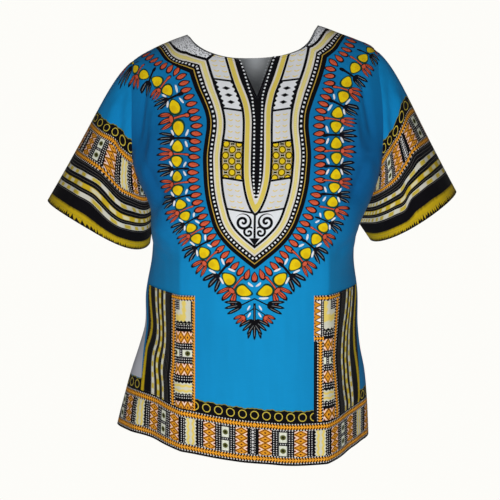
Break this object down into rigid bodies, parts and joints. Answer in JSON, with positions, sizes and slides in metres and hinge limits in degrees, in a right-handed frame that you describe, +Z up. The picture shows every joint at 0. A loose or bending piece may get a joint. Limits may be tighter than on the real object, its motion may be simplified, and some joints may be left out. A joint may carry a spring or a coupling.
{
  "type": "dashiki tunic",
  "caption": "Hip-length pullover tunic of printed cotton, worn and empty, with a slit round neck, short wide sleeves and patch pockets.",
  "frame": {"origin": "between the shoulders, level with the neck points, in the plane of the side seams, where the wearer's shoulders carry the tunic", "axes": "+Z up, the front faces -Y, the wearer's left is at +X"},
  "size_m": [0.7229, 0.2976, 0.7481],
  "materials": {
    "body_print": "plain-woven printed cotton, blue ground with a bib print and a border print at the hem, matt with a faint sheen",
    "sleeve_print": "plain-woven printed cotton, blue head over a border print of gold, cream and black stripes, matt with a faint sheen",
    "pocket_print": "plain-woven printed cotton, the border print turned upright, matt with a faint sheen"
  },
  "bodies": {
    "root": {"front_panel": "body_print", "back_panel": "body_print", "sleeve_right": "sleeve_print", "sleeve_left": "sleeve_print", "pocket_right": "pocket_print", "pocket_left": "pocket_print"}
  },
  "joints": []
}
